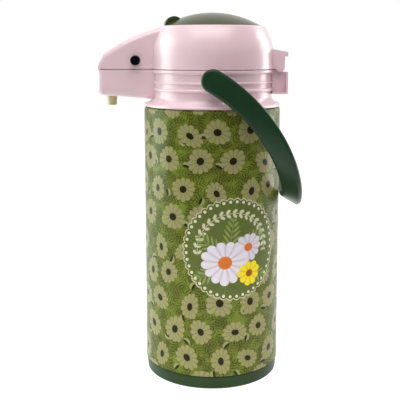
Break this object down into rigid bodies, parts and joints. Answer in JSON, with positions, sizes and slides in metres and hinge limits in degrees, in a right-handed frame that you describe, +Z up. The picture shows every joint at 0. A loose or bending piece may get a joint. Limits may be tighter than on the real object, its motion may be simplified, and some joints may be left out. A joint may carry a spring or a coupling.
{
  "type": "pump pot",
  "caption": "Pump-action vacuum jug: printed steel body with a glass liner, hinged pump lid with a domed push button, beak spout with a lock and latch, and a swinging strap handle.",
  "frame": {"origin": "centre of the foot ring's bottom, on the body's axis", "axes": "+Z up; -X towards the spout; +X towards the lid hinge; the handle pivots lie on +Y and -Y"},
  "size_m": [0.1938, 0.145, 0.3472],
  "materials": {
    "pink_plastic": "gloss moulded",
    "green_plastic": "gloss moulded",
    "printed_steel": "gloss lacquer over a flower print",
    "silvered_glass": "silvered, clear",
    "white_plastic": "satin",
    "cream_plastic": "satin",
    "black_plastic": "gloss",
    "white_rubber": "matt silicone",
    "black_rubber": "matt",
    "steel": "plain zinc"
  },
  "bodies": {
    "body": {"base_ring": "green_plastic", "bottom_cap": "green_plastic", "refill_cushion": "black_rubber", "outer_shell": "printed_steel", "glass_refill": "silvered_glass", "mouth_gasket": "white_rubber", "collar": "pink_plastic", "mouth_ring": "white_plastic", "siphon_tube": "white_plastic", "discharge_pipe": "white_plastic", "nozzle": "cream_plastic", "hinge_pin": "steel"},
    "lid": {"lid_shell": "pink_plastic", "pump_plate": "white_plastic", "plate_screws": "steel", "lid_gasket": "white_rubber", "outlet_valve": "white_rubber", "bellows": "white_rubber", "pump_spring": "steel", "latch_spring_near": "steel", "latch_spring_far": "steel"},
    "button": {"pump_button": "green_plastic", "button_plate": "white_plastic", "intake_valve": "white_rubber"},
    "lock": {"lock_ring": "green_plastic"},
    "latch_near": {"release_button_near": "black_plastic"},
    "latch_far": {"release_button_far": "black_plastic"},
    "handle": {"handle": "green_plastic", "pivot_washers": "steel", "pivot_screws": "steel"}
  },
  "joints": [
    {"name": "lid_open", "type": "hinge", "parent": "body", "child": "lid", "pos_m": [0.0635, 0, 0.2962], "axis": [0, 1, 0], "range_deg": [0, 85]},
    {"name": "pump_press", "type": "slide", "parent": "lid", "child": "button", "axis": [0, 0, -1], "range_m": [0, 0.019], "stiffness_N_per_m": 700, "springref_m": -0.006, "deforming": ["bellows", "pump_spring"]},
    {"name": "lock_turn", "type": "hinge", "parent": "button", "child": "lock", "pos_m": [0, 0, 0.335], "axis": [0, 0, -1], "range_deg": [0, 16]},
    {"name": "latch_near_press", "type": "slide", "parent": "lid", "child": "latch_near", "axis": [0, 1, 0], "range_m": [0, 0.003], "stiffness_N_per_m": 400, "springref_m": -0.002, "deforming": ["latch_spring_near"]},
    {"name": "latch_far_press", "type": "slide", "parent": "lid", "child": "latch_far", "axis": [0, -1, 0], "range_m": [0, 0.003], "stiffness_N_per_m": 400, "springref_m": -0.002, "deforming": ["latch_spring_far"]},
    {"name": "handle_swing", "type": "hinge", "parent": "body", "child": "handle", "pos_m": [0, 0, 0.286], "axis": [0, -1, 0], "range_deg": [0, 149]}
  ]
}
